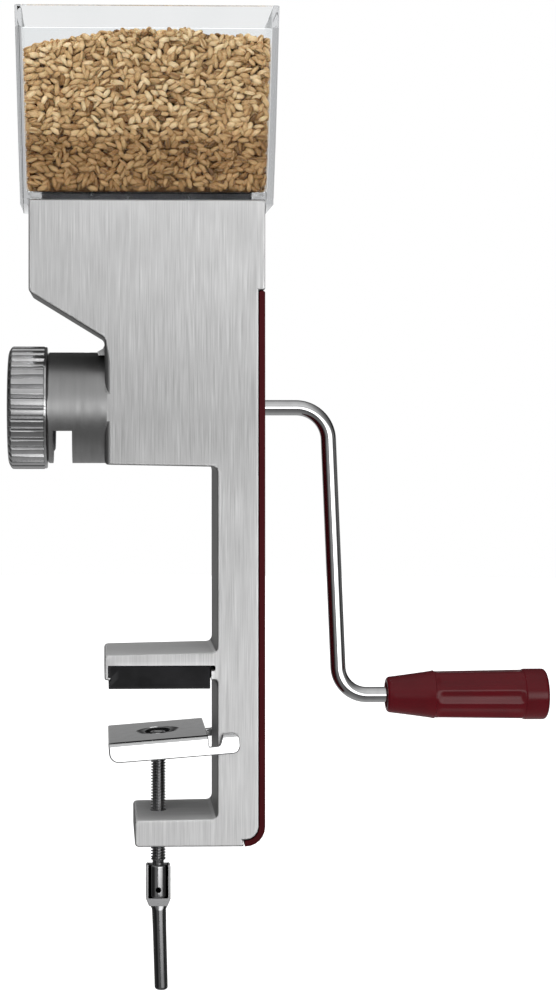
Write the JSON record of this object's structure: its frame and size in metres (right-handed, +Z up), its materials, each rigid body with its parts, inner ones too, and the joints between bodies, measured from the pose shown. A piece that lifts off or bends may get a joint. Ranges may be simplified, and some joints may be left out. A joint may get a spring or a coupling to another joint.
{
  "type": "grain mill",
  "caption": "Hand grain mill with a table clamp, clear hopper, knurled grind adjuster ring and a bent crank with a dark red grip.",
  "frame": {"origin": "centre of the rubber clamp pad's underside, which rests on the table top, on the axis of the clamp screw", "axes": "+Z up along the clamp screw, +X from the throat to the column and the crank, +Y to the back of the mill"},
  "size_m": [0.2804, 0.064, 0.5057],
  "materials": {
    "cast_aluminium": "brushed vertically, satin",
    "ring_aluminium": "satin, darker",
    "chrome": "polished",
    "steel": "bright zinc",
    "burr_steel": "hardened, matt",
    "bronze": "sintered",
    "dark_red_plastic": "semi-gloss",
    "black_rubber": "matt",
    "clear_plastic": "clear, polished"
  },
  "bodies": {
    "mill_body": {"housing": "cast_aluminium", "rear_cover": "cast_aluminium", "cover_screw_1": "steel", "cover_screw_2": "steel", "cover_screw_3": "steel", "cover_screw_4": "steel", "cover_screw_5": "steel", "cover_screw_6": "steel", "side_trim": "dark_red_plastic", "clamp_pad": "black_rubber", "outer_burr": "burr_steel", "outer_burr_pin": "steel", "end_plate": "steel", "right_bush": "bronze", "burr_spring": "steel"},
    "hopper": {"hopper": "clear_plastic"},
    "thrust_unit": {"thrust_plug": "steel", "thrust_ball": "steel"},
    "adjuster": {"adjuster_ring": "ring_aluminium"},
    "crank": {"drive_shaft": "steel", "feed_screw": "steel", "feed_screw_pin": "steel", "inner_burr": "burr_steel", "burr_drive_pin": "steel", "crank_rod": "chrome", "crank_grub_screw": "steel", "grip_circlip": "steel"},
    "grip": {"grip": "dark_red_plastic"},
    "jaw_carrier": {"swivel_washer": "steel"},
    "clamp_screw": {"clamp_screw": "steel", "jaw_rivet": "steel", "tommy_pin": "steel"},
    "tommy": {"tommy_handle": "steel"},
    "jaw": {"jaw_plate": "chrome"}
  },
  "joints": [
    {"name": "hopper_lift", "type": "slide", "parent": "mill_body", "child": "hopper", "axis": [0, 0, 1], "range_m": [0, 0.04]},
    {"name": "burr_gap_travel", "type": "slide", "parent": "mill_body", "child": "thrust_unit", "axis": [1, 0, 0], "range_m": [-0.00301, 0]},
    {"name": "adjuster_turn", "type": "hinge", "parent": "thrust_unit", "child": "adjuster", "pos_m": [-0.0674, 0, 0.1426], "axis": [1, 0, 0], "range_deg": [-720, 0]},
    {"name": "crank_spin", "type": "hinge", "parent": "thrust_unit", "child": "crank", "pos_m": [0, 0, 0.1426], "axis": [1, 0, 0], "continuous": true},
    {"name": "grip_spin", "type": "hinge", "parent": "crank", "child": "grip", "pos_m": [0.16, 0, -0.007], "axis": [1, 0, 0], "continuous": true},
    {"name": "jaw_travel", "type": "slide", "parent": "mill_body", "child": "jaw_carrier", "axis": [0, 0, 1], "range_m": [-0.03201, 0.01221]},
    {"name": "clamp_screw_turn", "type": "hinge", "parent": "jaw_carrier", "child": "clamp_screw", "pos_m": [0, 0, -0.06], "axis": [0, 0, 1], "range_deg": [-7680, 2928]},
    {"name": "jaw_tilt", "type": "hinge", "parent": "jaw_carrier", "child": "jaw", "pos_m": [0, 0, -0.0287], "axis": [0, 1, 0], "range_deg": [-4.5, 9]},
    {"name": "tommy_fold", "type": "hinge", "parent": "clamp_screw", "child": "tommy", "pos_m": [0, 0, -0.1025], "axis": [1, 0, 0], "range_deg": [-90, 90]}
  ],
  "couplings": [
    {"joint": "burr_gap_travel", "follows": "adjuster_turn", "m_per_rad": 0.00023873},
    {"joint": "jaw_travel", "follows": "clamp_screw_turn", "m_per_rad": 0.00023873}
  ]
}
